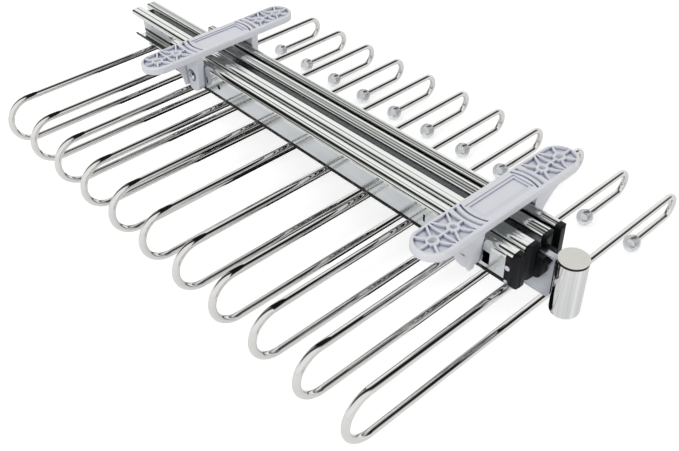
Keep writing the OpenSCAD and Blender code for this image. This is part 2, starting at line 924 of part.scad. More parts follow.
module handle_insert() {
    color(black)
        difference() {
            union() {
                translate([-insert_t / 2, bar_front_y, insert_top - insert_h])
                    cube([insert_t, insert_len_in_bar, insert_h - bar_wall]);
                translate([-insert_neck_t / 2, insert_end_y, insert_top - insert_h])
                    cube([insert_neck_t, bar_front_y - insert_end_y, insert_h]);
            }
            translate([0, insert_hole_y, insert_top - insert_h - cut])
                cylinder(h = insert_h + 2 * cut, d = handle_screw_d + 2 * fit_gap);
        }
}

module handle_screw() {
    head_z = handle_body_top - spigot_seat - handle_screw_head_h;
    color(chrome)
        translate([0, insert_hole_y, 0]) {
            translate([0, 0, head_z])
                cylinder(h = handle_screw_head_h, d = handle_screw_head_d);
            translate([0, 0, insert_top - insert_h])
                cylinder(h = head_z - insert_top + insert_h, d = handle_screw_d);
        }
}

front_bracket();
rear_bracket();
cheek_screws();
for (s = sides) {
    outer_member(s[1]);
    intermediate_member(s[1]);
    drawer_member(s[1]);
    outer_ball_cage(s[1]);
    drawer_ball_cage(s[1]);
    bearing_balls(s[1], outer_ball_x);
    bearing_balls(s[1], drawer_ball_x);
    intermediate_end_cap(s[1]);
    drawer_end_cap(s[1]);
    cap_rivets(s[1]);
}
centre_bar();
bar_screws();
for (n = [1:wire_count]) {
    hanger_wire(n);
}
ball_tips();
handle();
handle_cap();
handle_insert();
handle_screw();
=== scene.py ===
# %% [markdown]
# # A pull-out trouser rack, dressed for a studio picture
#
# The rack hangs under a wardrobe shelf. Two moulded brackets carry two ball bearing slides, a flat bar runs
# out between them, and eleven chrome wires hang from the bar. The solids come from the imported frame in
# their real places, in metres. This script gives each of them its finish. It makes again in numpy the two
# kinds of piece whose gloss or clearness would show every facet, the wires and their clear balls, and it
# rounds the edges of a copy of the brackets, the black ends, the handle and its disc.

import bmesh
import bpy
import numpy as np
from mathutils import Matrix, Vector


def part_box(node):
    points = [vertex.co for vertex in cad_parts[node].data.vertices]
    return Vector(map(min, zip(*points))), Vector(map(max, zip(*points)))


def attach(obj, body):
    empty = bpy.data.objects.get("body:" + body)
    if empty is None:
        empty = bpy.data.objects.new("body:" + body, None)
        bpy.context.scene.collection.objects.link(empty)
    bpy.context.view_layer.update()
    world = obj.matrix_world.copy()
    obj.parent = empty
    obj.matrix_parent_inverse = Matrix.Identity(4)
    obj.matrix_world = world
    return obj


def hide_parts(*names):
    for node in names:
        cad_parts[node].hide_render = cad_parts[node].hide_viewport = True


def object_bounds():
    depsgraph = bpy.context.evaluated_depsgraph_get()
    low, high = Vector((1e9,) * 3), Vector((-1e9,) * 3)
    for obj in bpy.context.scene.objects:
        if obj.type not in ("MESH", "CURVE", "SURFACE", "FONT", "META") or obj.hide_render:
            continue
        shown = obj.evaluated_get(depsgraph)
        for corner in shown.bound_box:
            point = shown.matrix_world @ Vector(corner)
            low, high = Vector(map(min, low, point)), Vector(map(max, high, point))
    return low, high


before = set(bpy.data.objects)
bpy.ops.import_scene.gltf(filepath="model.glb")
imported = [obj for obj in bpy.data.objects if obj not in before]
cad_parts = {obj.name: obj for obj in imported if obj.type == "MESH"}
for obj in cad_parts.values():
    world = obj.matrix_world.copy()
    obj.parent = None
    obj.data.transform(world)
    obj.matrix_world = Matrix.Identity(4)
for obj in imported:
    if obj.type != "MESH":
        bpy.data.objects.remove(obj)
cad_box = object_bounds()
MM = 0.001
print("nodes:", len(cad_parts))

# %% [markdown]
# ## The camera
#
# The camera stands in front of the rack on its left, about forty degrees above it. Its place and its turn
# were worked out from the eleven parallel wires, whose bends lie at known places. A camera in Blender looks
# along its own -Z, so the three directions below go into the matrix as its X, Y and Z columns.

# %% Camera
CAMERA_PLACE = (-0.35352, -0.41548, 0.33784)
CAMERA_RIGHT = (0.746973, -0.664037, -0.032956)
CAMERA_DOWN = (-0.447972, -0.466057, -0.762963)
CAMERA_FORWARD = (0.491276, 0.584676, -0.645602)
SENSOR_MM = 36.0
LENS_MM = 43.498

camera_data = bpy.data.cameras.new("camera")
camera_data.sensor_width = SENSOR_MM
camera_data.lens = LENS_MM
camera = bpy.data.objects.new("camera", camera_data)
bpy.context.scene.collection.objects.link(camera)
axes = np.array([CAMERA_RIGHT, -np.array(CAMERA_DOWN), -np.array(CAMERA_FORWARD)])
placed = np.eye(4)
placed[:3, :3] = axes.T
placed[:3, 3] = CAMERA_PLACE
camera.matrix_world = Matrix(placed.tolist())
camera_data.clip_start = 0.01
camera_data.clip_end = 20.0
bpy.context.scene.camera = camera
bpy.context.scene.view_settings.view_transform = "Standard"
print("camera looks down", round(float(np.degrees(np.arcsin(-CAMERA_FORWARD[2]))), 1), "degrees")

# %% [markdown]
# ## Colours and nodes
#
# Colours are written as people pick them, as sRGB hex values, and the shader wants them linear. One small
# function adds a node, sets what it is told and links what it is given, so that each material below reads
# as a list of its steps.


# %% Helpers for materials
def linear(hex_colour):
    """The linear RGBA of an sRGB hex value: each channel over 255, then the sRGB curve undone."""
    channels = np.array([int(hex_colour[i:i + 2], 16) for i in (1, 3, 5)]) / 255.0
    low = channels / 12.92
    high = ((channels + 0.055) / 1.055) ** 2.4
    return (*np.where(channels <= 0.04045, low, high).tolist(), 1.0)


def add_node(tree, kind, values=None, links=None):
    """Adds a node. Values go to its settings or sockets, and links join sockets to other nodes' outputs."""
    node = tree.nodes.new(kind)
    for name, value in (values or {}).items():
        if isinstance(name, str) and hasattr(node, name):
            setattr(node, name, value)
        else:
            node.inputs[name].default_value = value
    for name, source in (links or {}).items():
        tree.links.new(source, node.inputs[name])
    return node


def new_material(name):
    """An empty material with its Principled shader wired to the output."""
    material = bpy.data.materials.new(name)
    material.use_nodes = True
    tree = material.node_tree
    tree.nodes.clear()
    shader = add_node(tree, "ShaderNodeBsdfPrincipled")
    add_node(tree, "ShaderNodeOutputMaterial", links={"Surface": shader.outputs["BSDF"]})
    return material, tree, shader


def set_ramp(node, stops):
    """Gives a Color Ramp its stops, as (place, grey)."""
    ramp = node.color_ramp
    while len(ramp.elements) > 1:
        ramp.elements.remove(ramp.elements[-1])
    for i, (place, grey) in enumerate(stops):
        stop = ramp.elements[0] if i == 0 else ramp.elements.new(place)
        stop.position = place
        stop.color = (grey, grey, grey, 1.0)


print("white is", [round(c, 3) for c in linear("#ffffff")])

# %% [markdown]
# ## The studio
#
# Bright metal looks like the room around it. Product pictures of chrome are taken in a white tent on a white
# sweep, and the tent's dark slit draws the black line that makes a wire look round. Here the world is that
# tent: it is white to the camera, and to everything else it has bright walls and, straight overhead from side
# to side, the dark slit. The floor is a plain matt sheet.

# %% The tent
world = bpy.data.worlds.new("white_tent")
bpy.context.scene.world = world
world.use_nodes = True
sky = world.node_tree
sky.nodes.clear()
direction = add_node(sky, "ShaderNodeTexCoord")
# How far a direction leans from the slit's plane towards the far wall, from -1 at the near wall to 1
ACROSS_SLIT = (0.81, 0.585, -0.06)
lean = add_node(sky, "ShaderNodeVectorMath", {"operation": "DOT_PRODUCT", 1: ACROSS_SLIT},
                {0: direction.outputs["Generated"]})
from_near = add_node(sky, "ShaderNodeMapRange", {"From Min": -1.0}, {"Value": lean.outputs["Value"]})
# The near wall is white, its edge falls off quickly into the slit, and the far edge comes back slowly
NEAR_WALL = [(0.0, 1.05), (0.36, 1.0)]
NEAR_EDGE = [(0.42, 0.40), (0.46, 0.06)]
SLIT = [(0.50, 0.01), (0.60, 0.01)]
FAR_EDGE = [(0.66, 0.06), (0.71, 0.26), (0.76, 0.72)]
FAR_WALL = [(0.81, 1.05), (1.0, 1.1)]
slit = add_node(sky, "ShaderNodeValToRGB", links={"Fac": from_near.outputs["Result"]})
set_ramp(slit, NEAR_WALL + NEAR_EDGE + SLIT + FAR_EDGE + FAR_WALL)
# The slit ends above the walls, which stay bright down to the floor
parts = add_node(sky, "ShaderNodeSeparateXYZ", links={0: direction.outputs["Generated"]})
above_wall = add_node(
    sky, "ShaderNodeMapRange", {"interpolation_type": "SMOOTHSTEP", "From Min": 0.1, "From Max": 0.36},
    {"Value": parts.outputs["Z"]})
room = add_node(sky, "ShaderNodeMix", {"data_type": "RGBA", 6: (1.0, 1.0, 1.0, 1.0)}, {
    0: above_wall.outputs["Result"], 7: slit.outputs["Color"]})
seen = add_node(sky, "ShaderNodeLightPath")
plain = add_node(sky, "ShaderNodeBackground", {"Color": (1.0, 1.0, 1.0, 1.0), "Strength": 1.0})
lit = add_node(sky, "ShaderNodeBackground", {"Strength": 1.0}, {"Color": room.outputs[2]})
either = add_node(sky, "ShaderNodeMixShader", links={
    0: seen.outputs["Is Camera Ray"], 1: lit.outputs["Background"], 2: plain.outputs["Background"]})
add_node(sky, "ShaderNodeOutputWorld", links={"Surface": either.outputs["Shader"]})
print("the slit spans", SLIT[0][0], "to", SLIT[1][0], "of the way across")


# %% Meshes from arrays
def mesh_object(name, points, faces, smooth=True):
    """An object from an array of points and an array of faces, all with the same number of corners."""
    faces = np.asarray(faces)
    mesh = bpy.data.meshes.new(name)
    mesh.vertices.add(len(points))
    mesh.vertices.foreach_set("co", np.asarray(points, float).ravel())
    mesh.loops.add(faces.size)
    mesh.loops.foreach_set("vertex_index", faces.ravel())
    mesh.polygons.add(len(faces))
    mesh.polygons.foreach_set("loop_start", np.arange(0, faces.size, faces.shape[1]))
    mesh.polygons.foreach_set("use_smooth", np.full(len(faces), smooth))
    mesh.update(calc_edges=True)
    mesh.validate()
    thing = bpy.data.objects.new(name, mesh)
    bpy.context.scene.collection.objects.link(thing)
    return thing


# %% Floor
# A hair under the object, so that the two never share a plane
FLOOR_Z = cad_box[0][2] - 0.3 * MM
FLOOR_HALF = 3.0
floor = mesh_object(
    "floor",
    np.array([[-1, -1, 0], [1, -1, 0], [1, 1, 0], [-1, 1, 0]]) * FLOOR_HALF + [0, 0, FLOOR_Z],
    [[0, 1, 2, 3]], smooth=False)

paper, tree, shader = new_material("white_paper_sweep")
shader.inputs["Base Color"].default_value = linear("#f4f4f4")
shader.inputs["Roughness"].default_value = 0.9
# The camera sees the floor lifted to white, the metal sees it lifted a little, and the shadow stays on it
ray = add_node(tree, "ShaderNodeLightPath")
for_camera = add_node(tree, "ShaderNodeMath", {"operation": "MULTIPLY", 1: 0.45},
                      {0: ray.outputs["Is Camera Ray"]})
mirrored = add_node(tree, "ShaderNodeMath", {"operation": "MAXIMUM"}, {
    0: ray.outputs["Is Glossy Ray"], 1: ray.outputs["Is Transmission Ray"]})
lift = add_node(tree, "ShaderNodeMath", {"operation": "MULTIPLY_ADD", 1: 0.15}, {
    0: mirrored.outputs[0], 2: for_camera.outputs[0]})
shader.inputs["Emission Color"].default_value = (1.0, 1.0, 1.0, 1.0)
tree.links.new(lift.outputs[0], shader.inputs["Emission Strength"])
floor.data.materials.append(paper)
print("floor at", round(FLOOR_Z * 1000, 2), "mm")

# %% [markdown]
# ## Lamps and cards
#
# Two soft boxes light the plastic and cast the faint shadow, a strong one from the left and a weak one from
# the right. The metal doesn't mirror them, because it already mirrors the tent. Two black cards work the
# other way round, as photographers use them: only mirrors see them, as black lines along the slides' edges.


# %% Soft boxes
def soft_light(name, place, target, size, power):
    """A rectangular area light at a place, turned towards a target, that lights but isn't mirrored."""
    lamp = bpy.data.lights.new(name, "AREA")
    lamp.shape = "RECTANGLE"
    lamp.size, lamp.size_y = size
    lamp.energy = power
    holder = bpy.data.objects.new(name, lamp)
    bpy.context.scene.collection.objects.link(holder)
    holder.visible_glossy = False
    place = Vector(place)
    turn = (place - Vector(target)).to_track_quat("Z", "Y")
    holder.matrix_world = Matrix.Translation(place) @ turn.to_matrix().to_4x4()


soft_light("key_softbox", (-0.9, 0.2, 1.3), (0, 0, 0), (0.9, 0.9), power=7.0)
soft_light("fill_softbox", (1.1, -1.0, 1.0), (0, 0, 0), (0.8, 0.8), power=3.0)
print("lamps:", len(bpy.data.lights))

# %% Black cards
card_paper, tree, shader = new_material("matt_black_card")
shader.inputs["Base Color"].default_value = linear("#080808")
shader.inputs["Roughness"].default_value = 0.95
shader.inputs["Specular IOR Level"].default_value = 0.1


def black_card(name, corners):
    """A flat card with four corners that nothing but a mirror sees."""
    card = mesh_object(name, corners, [[0, 1, 2, 3]], smooth=False)
    card.visible_camera = card.visible_diffuse = card.visible_shadow = card.visible_transmission = False
    card.data.materials.append(card_paper)


def corners_of(u_low, u_high, v_low, v_high):
    """The four corners of a rectangle, in order round it."""
    return (u_low, v_low), (u_high, v_low), (u_high, v_high), (u_low, v_high)


# One stands between the loops and the left slide, and one lies under the slides
STANDING_X = -0.13
LYING_Z = FLOOR_Z + 0.2 * MM
black_card("standing_card", [(STANDING_X, y, z) for y, z in corners_of(-0.14, 0.39, -0.044, 0.007)])
black_card("lying_card", [(x, y, LYING_Z) for x, y in corners_of(-0.045, 0.07, -0.185, 0.30)])
print("cards at X", STANDING_X, "and Z", round(LYING_Z, 4))

# %% [markdown]
# ## Chrome for the wires
#
# The wires are drawn steel, bent, polished and plated with nickel and bright chrome. Chrome is a mirror
# with hardly any tone, so it is a metal with hardly any roughness. What keeps it from looking like a
# computer's mirror is the polishing underneath: long, very shallow waves that bend the reflections a little.


# %% Bright chrome
def bright_chrome(name, colour, rough, wave_mm, depth_mm):
    """Plated mirror: a metal colour, a little roughness that varies, and shallow polishing waves."""
    material, tree, shader = new_material(name)
    where = add_node(tree, "ShaderNodeTexCoord")
    smear = add_node(tree, "ShaderNodeTexNoise", {"Scale": 1 / (25 * MM), "Detail": 3.0},
                     {"Vector": where.outputs["Object"]})
    rub = add_node(tree, "ShaderNodeMapRange", {"To Min": rough * 0.6, "To Max": rough * 1.6},
                   {"Value": smear.outputs["Fac"]})
    waves = add_node(tree, "ShaderNodeTexNoise", {"Scale": 1 / (wave_mm * MM), "Detail": 2.0},
                     {"Vector": where.outputs["Object"]})
    bump = add_node(tree, "ShaderNodeBump", {"Strength": 1.0, "Distance": depth_mm * MM},
                    {"Height": waves.outputs["Fac"]})
    shader.inputs["Base Color"].default_value = linear(colour)
    shader.inputs["Metallic"].default_value = 1.0
    tree.links.new(rub.outputs["Result"], shader.inputs["Roughness"])
    tree.links.new(bump.outputs["Normal"], shader.inputs["Normal"])
    return material


chrome_wire = bright_chrome("bright_chrome_on_drawn_wire", "#dedddb", rough=0.02, wave_mm=14, depth_mm=0.01)
print("wire finish:", chrome_wire.name)

# %% [markdown]
# ## The hanger wires
#
# Each wire is one rod with two half turns: from the bar out to the left, round a big loop, back under the
# slides and round a small hook on the right. Sweeping a circle along that path gives it. The path lies in one
# upright plane, so the frame that carries the circle never twists: one of its directions is always Y.

# %% Sizes of the wires, as in the solids
WIRE_COUNT = 11
WIRE_R = 3.0 * MM
# The wire starts in the bar, this far right of the middle
BAR_X = 3.0 * MM
LOOP_R = 20.9 * MM
HOOK_R = 10.75 * MM
RETURN_Z = -54.6 * MM
MAIN_Z = RETURN_Z - 2 * LOOP_R
HOOK_Z = MAIN_Z - 2 * HOOK_R
wire_boxes = [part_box(f"hanger_wire_{i}") for i in range(1, WIRE_COUNT + 1)]
WIRE_YS = [(low[1] + high[1]) / 2 for low, high in wire_boxes]
LOOP_X = -(wire_boxes[0][0][0] + WIRE_R + LOOP_R)
HOOK_X = wire_boxes[0][1][0] - WIRE_R - HOOK_R
HOOK_LEN = 45.8 * MM
print("loops bend at", round(-LOOP_X * 1000, 1), "hooks bend at", round(HOOK_X * 1000, 1))


# %% The path of a wire
def arc(x, z, r, start, stop, count):
    """Points of a circle's arc in the XZ plane: x + r cos a, z + r sin a, for angles from start to stop."""
    a = np.radians(np.linspace(start, stop, count))
    return np.column_stack([x + r * np.cos(a), z + r * np.sin(a)])


def straight(start, stop, count):
    """Points along a straight line from start to stop, the last one left to the next piece."""
    return np.linspace(start, stop, count, endpoint=False)


def wire_path():
    """The wire's middle line in X and Z: run, half turn, run, half turn, run, each with its point count.

    A run that follows an arc leaves out its first point, which is the arc's last one.
    """
    return np.vstack([
        straight((BAR_X, RETURN_Z), (-LOOP_X, RETURN_Z), 30),
        arc(-LOOP_X, MAIN_Z + LOOP_R, LOOP_R, 90, 270, 72),
        straight((-LOOP_X, MAIN_Z), (HOOK_X, MAIN_Z), 60)[1:],
        arc(HOOK_X, MAIN_Z - HOOK_R, HOOK_R, 90, -90, 56),
        straight((HOOK_X, HOOK_Z), (HOOK_X - HOOK_LEN, HOOK_Z), 12)[1:],
        [(HOOK_X - HOOK_LEN, HOOK_Z)]])


path = wire_path()
length = np.linalg.norm(np.diff(path, axis=0), axis=1).sum()
print("a wire is", round(length * 1000), "mm long when straightened")


# %% A tube along a path
def grid_faces(rows, columns):
    """Four-cornered faces of a grid of rows by columns whose columns close on themselves."""
    row, column = np.meshgrid(np.arange(rows - 1), np.arange(columns), indexing="ij")
    beside = (column + 1) % columns
    a, b = row * columns + column, row * columns + beside
    return np.stack([a, b, b + columns, a + columns], -1).reshape(-1, 4)


def swept_tube(name, path, y, profile, sides=40):
    """A round tube whose middle line is path, in the XZ plane at y.

    The point at angle t and step s is path(s) + r(s) (cos t * n(s) + sin t * Y), where n is the path's
    normal in its plane. Profile rounds the cut ends: it lists how far in from an end a ring lies, and its
    share of the wire's radius.
    """
    tangent = np.gradient(path, axis=0)
    tangent /= np.linalg.norm(tangent, axis=1)[:, None]
    first, last = path[0], path[-1]
    before = [first + tangent[0] * d for d, _ in profile]
    after = [last - tangent[-1] * d for d, _ in profile[::-1]]
    line = np.vstack([before, path[1:-1], after])
    along = np.vstack([[tangent[0]] * len(profile), tangent[1:-1], [tangent[-1]] * len(profile)])
    shares = np.concatenate([
        [share for _, share in profile], np.ones(len(path) - 2), [share for _, share in profile[::-1]]])
    normal = np.column_stack([-along[:, 1], along[:, 0]])
    t = np.linspace(0, 2 * np.pi, sides, endpoint=False)
    reach = (WIRE_R * shares)[:, None]
    x = line[:, :1] + reach * np.cos(t) * normal[:, :1]
    z = line[:, 1:] + reach * np.cos(t) * normal[:, 1:]
    depth = y + reach * np.sin(t)
    points = np.stack([x, depth, z], -1).reshape(-1, 3)
    return mesh_object(name, points, grid_faces(len(line), sides))


# A cut end with a small round edge: the tiny first ring closes the face
ROUND_END = [
    (0.0, 0.004), (0.0, 0.55), (0.0, 0.86), (0.05 * MM, 0.93), (0.18 * MM, 0.975), (0.4 * MM, 1.0)]
print("a cut end is rounded over its last", ROUND_END[-1][0] * 1000, "mm")

# %% Eleven wires
for number, y in enumerate(WIRE_YS, 1):
    wire = swept_tube(f"chrome_wire_{number}", path, y, ROUND_END)
    wire.data.materials.append(chrome_wire)
    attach(wire, "carriage")
    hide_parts(f"hanger_wire_{number}")
print("wires:", len(WIRE_YS))

# %% [markdown]
# ## Clear ball tips
#
# Each wire ends in a ball of clear acrylic, pushed over the cut end so that trousers don't catch. Light goes
# through it and bends, so the wire's end shows inside, drawn out by the ball. It is one closed skin: the
# sphere, and a bore that goes in from the right as far as the ball's middle. Such a skin is a turned shape, a
# profile of radius and height carried round an axis, and both its ends lie on the axis, which closes it.

# %% Clear acrylic
acrylic, tree, shader = new_material("moulded_clear_acrylic")
shader.inputs["Base Color"].default_value = linear("#e4e6e8")
shader.inputs["Roughness"].default_value = 0.03
shader.inputs["IOR"].default_value = 1.49
shader.inputs["Transmission Weight"].default_value = 1.0
where = add_node(tree, "ShaderNodeTexCoord")
ripple = add_node(tree, "ShaderNodeTexNoise", {"Scale": 1 / (6 * MM), "Detail": 1.0},
                  {"Vector": where.outputs["Object"]})
flow = add_node(tree, "ShaderNodeBump", {"Strength": 1.0, "Distance": 0.02 * MM},
                {"Height": ripple.outputs["Fac"]})
tree.links.new(flow.outputs["Normal"], shader.inputs["Normal"])
print("ball finish:", acrylic.name)

# %% The skin of a ball
BALL_R = 7.0 * MM
BORE_R = WIRE_R + 0.1 * MM
# The bore's flat end lies this far left of the ball's middle, a hair past the wire's end
BORE_END = -0.05 * MM
# A ring at a pole keeps this radius, which closes the skin and leaves the grid regular
POLE_R = 0.001 * MM


def ball_profile():
    """Sphere of BALL_R from its left pole to the bore's mouth, then back along the bore to its flat end."""
    mouth = np.sqrt(BALL_R ** 2 - BORE_R ** 2)
    a = np.linspace(np.pi, np.arctan2(BORE_R, mouth), 40)
    sphere = np.column_stack([BALL_R * np.sin(a), BALL_R * np.cos(a)])
    bore = np.array([(BORE_R, mouth * 0.5), (BORE_R, BORE_END), (BORE_R * 0.5, BORE_END), (0, BORE_END)])
    return np.vstack([sphere, bore])


def turned(name, profile, centre, sides):
    """A profile of (radius, height) carried round an axis along +X through centre.

    The point at angle t and step s is centre + (h(s), r(s) cos t, r(s) sin t).
    """
    t = np.linspace(0, 2 * np.pi, sides, endpoint=False)
    across = np.maximum(profile[:, :1], POLE_R)
    along = np.repeat(profile[:, 1:], sides, 1)
    points = np.stack([along, across * np.cos(t), across * np.sin(t)], -1).reshape(-1, 3) + centre
    return mesh_object(name, points, grid_faces(len(profile), sides))


print("a ball's profile has", len(ball_profile()), "points")


# %% Eleven balls as one piece
def joined(things, name):
    """One object from several, whose meshes lie where they lay."""
    with bpy.context.temp_override(active_object=things[0], selected_editable_objects=things):
        bpy.ops.object.join()
    things[0].name = name
    things[0].data.name = name
    return things[0]


balls = [turned("ball", ball_profile(), (HOOK_X - HOOK_LEN, y, HOOK_Z), sides=56) for y in WIRE_YS]
tips = joined(balls, "clear_ball_tips")
tips.data.materials.append(acrylic)
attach(tips, "carriage")
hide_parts("ball_tips")
print("balls:", len(WIRE_YS), "of", BALL_R * 2000, "mm")

# %% [markdown]
# ## Moulded brackets
#
# The brackets are injection moulded ABS in a cool light grey. Moulded plastic has a fine spark-eroded grain
# and a soft broad sheen. Its corners get painted shade, darker where light comes in from one side only. The
# solid already has the ribs, so all that it lacks is the small radius of every moulded edge. A copy of it
# gets that from a Bevel.

# %% Grey ABS
abs_grey, tree, shader = new_material("moulded_grey_abs")
where = add_node(tree, "ShaderNodeTexCoord")
cloud = add_node(tree, "ShaderNodeTexNoise", {"Scale": 1 / (40 * MM), "Detail": 4.0},
                 {"Vector": where.outputs["Object"]})
tone = add_node(tree, "ShaderNodeMix", {"data_type": "RGBA", 6: linear("#dadce2"), 7: linear("#e0e1e7")},
                {0: cloud.outputs["Fac"]})
# Spark-eroded grain, which is about 0.3 mm and is drawn at 0.6 mm so that it shows
grain = add_node(tree, "ShaderNodeTexNoise", {"Scale": 1 / (0.6 * MM), "Detail": 2.0},
                 {"Vector": where.outputs["Object"]})
skin = add_node(tree, "ShaderNodeBump", {"Strength": 0.5, "Distance": 0.03 * MM},
                {"Height": grain.outputs["Fac"]})
sheen = add_node(tree, "ShaderNodeMapRange", {"To Min": 0.38, "To Max": 0.5}, {"Value": cloud.outputs["Fac"]})
# Painted shade: pockets and grooves are painted darker and more lilac, as light reaches them from one side
# only
open_air = add_node(tree, "ShaderNodeAmbientOcclusion", {"samples": 12, "Distance": 2.2 * MM})
painted_corner_shade = add_node(tree, "ShaderNodeMapRange", {"From Min": 0.42, "From Max": 0.96},
                     {"Value": open_air.outputs["AO"]})
colour_with_painted_shade = add_node(tree, "ShaderNodeMix", {"data_type": "RGBA", 6: linear("#7a7c9a")}, {
    0: painted_corner_shade.outputs["Result"], 7: tone.outputs[2]})
tree.links.new(colour_with_painted_shade.outputs[2], shader.inputs["Base Color"])
tree.links.new(sheen.outputs["Result"], shader.inputs["Roughness"])
tree.links.new(skin.outputs["Normal"], shader.inputs["Normal"])
shader.inputs["IOR"].default_value = 1.53
print("bracket finish:", abs_grey.name)


# %% Finishing a solid, and softening a copy
def finish_node(name, material):
    """Gives a CAD node's own mesh a material in all of its slots."""
    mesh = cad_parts[name].data
    mesh.materials.clear()
    mesh.materials.append(material)


# Points closer than this are one, faces that turn less than the first angle are one flat face, and edges that
# turn more than the second are sharp
SAME_POINT = 0.002 * MM
FLAT_ANGLE = np.radians(0.5)
SHARP_ANGLE = np.radians(28)


def softened(name, material, edge_mm, body):
    """Puts a copy of a node in its place, with its sharp edges rounded so that they catch light.

    The copy's doubled points are merged and its flat faces joined, so that the Bevel modifier finds each real
    edge once.
    """
    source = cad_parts[name]
    mesh = source.data.copy()
    mesh.name = f"{name}_softened"
    mesh.transform(source.matrix_world)
    work = bmesh.new()
    work.from_mesh(mesh)
    bmesh.ops.remove_doubles(work, verts=work.verts, dist=SAME_POINT)
    bmesh.ops.dissolve_limit(work, angle_limit=FLAT_ANGLE, verts=work.verts, edges=work.edges)
    work.to_mesh(mesh)
    work.free()
    mesh.materials.clear()
    mesh.materials.append(material)
    mesh.polygons.foreach_set("use_smooth", np.ones(len(mesh.polygons), bool))
    copy = bpy.data.objects.new(mesh.name, mesh)
    bpy.context.scene.collection.objects.link(copy)
    bevel = copy.modifiers.new("round_edges", "BEVEL")
    bevel.width = edge_mm * MM
    bevel.segments = 3
    bevel.limit_method = "ANGLE"
    bevel.angle_limit = SHARP_ANGLE
    bevel.use_clamp_overlap = True
    bevel.harden_normals = True
    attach(copy, body)
    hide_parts(name)


for name in ("front_bracket", "rear_bracket"):
    softened(name, abs_grey, edge_mm=0.2, body="frame")
print("brackets in", abs_grey.name)

# %% [markdown]
# ## Zinc plated sheet
#
# The slides are cold rolled strip, folded by rollers, then plated with zinc and passivated, which gives a
# bluish grey mirror. Rolling leaves fine lines along the strip, so the gloss is drawn out across them, and
# the plating leaves faint clouds. Relief, colour and gloss are worked out from a point's place on the slide,
# so one material serves all six members.

# %% Places on the slide
# The slide's middle height, and the height of its roll groove
MIDDLE_Z = -29 * MM
GROOVE_Z = -38.7 * MM
# How far above and below the middle the flat web begins to bend, and is bent
WEB_FLAT, WEB_BENT = 7.5 * MM, 8.7 * MM
# How far beside the rack's middle a slide's hollow has its own middle, and half of its width and height
HOLLOW_ASIDE = 8.9 * MM
HOLLOW_HALF_WIDTH, HOLLOW_HALF_HEIGHT = 5.3 * MM, 12.9 * MM


def off_height(tree, place, z):
    """How far a point lies above or below the height z: |Z - z|."""
    over = add_node(tree, "ShaderNodeMath", {"operation": "SUBTRACT", 1: z}, {0: place.outputs["Z"]})
    return add_node(tree, "ShaderNodeMath", {"operation": "ABSOLUTE"}, {0: over.outputs[0]})


def in_hollow(tree, aside, up_or_down):
    """1 in the slide's hollow and 0 elsewhere: the product of a test across and a test upwards."""
    across = add_node(
        tree, "ShaderNodeMath", {"operation": "COMPARE", 1: HOLLOW_ASIDE, 2: HOLLOW_HALF_WIDTH},
        {0: aside.outputs[0]})
    upwards = add_node(tree, "ShaderNodeMath", {"operation": "LESS_THAN", 1: HOLLOW_HALF_HEIGHT},
                       {0: up_or_down.outputs[0]})
    return add_node(tree, "ShaderNodeMath", {"operation": "MULTIPLY"}, {
        0: across.outputs[0], 1: upwards.outputs[0]})


print("the web is flat over", round(WEB_FLAT * 2000, 1), "mm")

# %% Relief of the strip
RIDGE_PITCH, RIDGE_START, RIDGE_DEPTH = 2.7 * MM, 7 * MM, 0.035 * MM
LEFT_SLOPE, RIGHT_SLOPE = -0.105, 0.28
GROOVE_HALF, GROOVE_DEPTH = 1.0 * MM, 0.4 * MM
LINE_PITCH, LINE_DEPTH = 0.8 * MM, 0.006 * MM


def strip_relief(tree, place, aside, groove_off, lines):
    """The bump of a height over the place x, at the distance a from the rack's middle.

    The tops slope as max(-0.105 x, 0.28 x). On that lie ridges 0.035 mm sin(2 pi (a - 7 mm) / 2.7 mm), one
    roll groove 2 mm wide and 0.4 mm deep, with smooth sides, and rolling lines of a few thousandths.
    """
    radians = 2 * np.pi / RIDGE_PITCH
    phase = add_node(
        tree, "ShaderNodeMath", {"operation": "MULTIPLY_ADD", 1: radians, 2: -radians * RIDGE_START},
        {0: aside.outputs[0]})
    wave = add_node(tree, "ShaderNodeMath", {"operation": "SINE"}, {0: phase.outputs[0]})
    left = add_node(tree, "ShaderNodeMath", {"operation": "MULTIPLY", 1: LEFT_SLOPE},
                    {0: place.outputs["X"]})
    right = add_node(tree, "ShaderNodeMath", {"operation": "MULTIPLY", 1: RIGHT_SLOPE},
                     {0: place.outputs["X"]})
    slope = add_node(tree, "ShaderNodeMath", {"operation": "MAXIMUM"}, {
        0: left.outputs[0], 1: right.outputs[0]})
    ridged = add_node(tree, "ShaderNodeMath", {"operation": "MULTIPLY_ADD", 1: RIDGE_DEPTH}, {
        0: wave.outputs[0], 2: slope.outputs[0]})
    groove = add_node(tree, "ShaderNodeMapRange", {
        "interpolation_type": "SMOOTHSTEP", "From Max": GROOVE_HALF, "To Min": -GROOVE_DEPTH, "To Max": 0.0},
        {"Value": groove_off.outputs[0]})
    grooved = add_node(tree, "ShaderNodeMath", {"operation": "ADD"}, {
        0: ridged.outputs[0], 1: groove.outputs["Result"]})
    height = add_node(tree, "ShaderNodeMath", {"operation": "MULTIPLY_ADD", 1: LINE_DEPTH}, {
        0: lines.outputs["Fac"], 2: grooved.outputs[0]})
    return add_node(tree, "ShaderNodeBump", {"Strength": 1.0, "Distance": 1.0}, {"Height": height.outputs[0]})


print("ridges", round(RIDGE_PITCH * 1000, 1), "mm apart")

# %% Colour of the strip
# How far from the groove's middle the painted shade line begins to thin out, and is gone
SHADE_LINE_FULL, SHADE_LINE_GONE = 1.3 * MM, 1.75 * MM


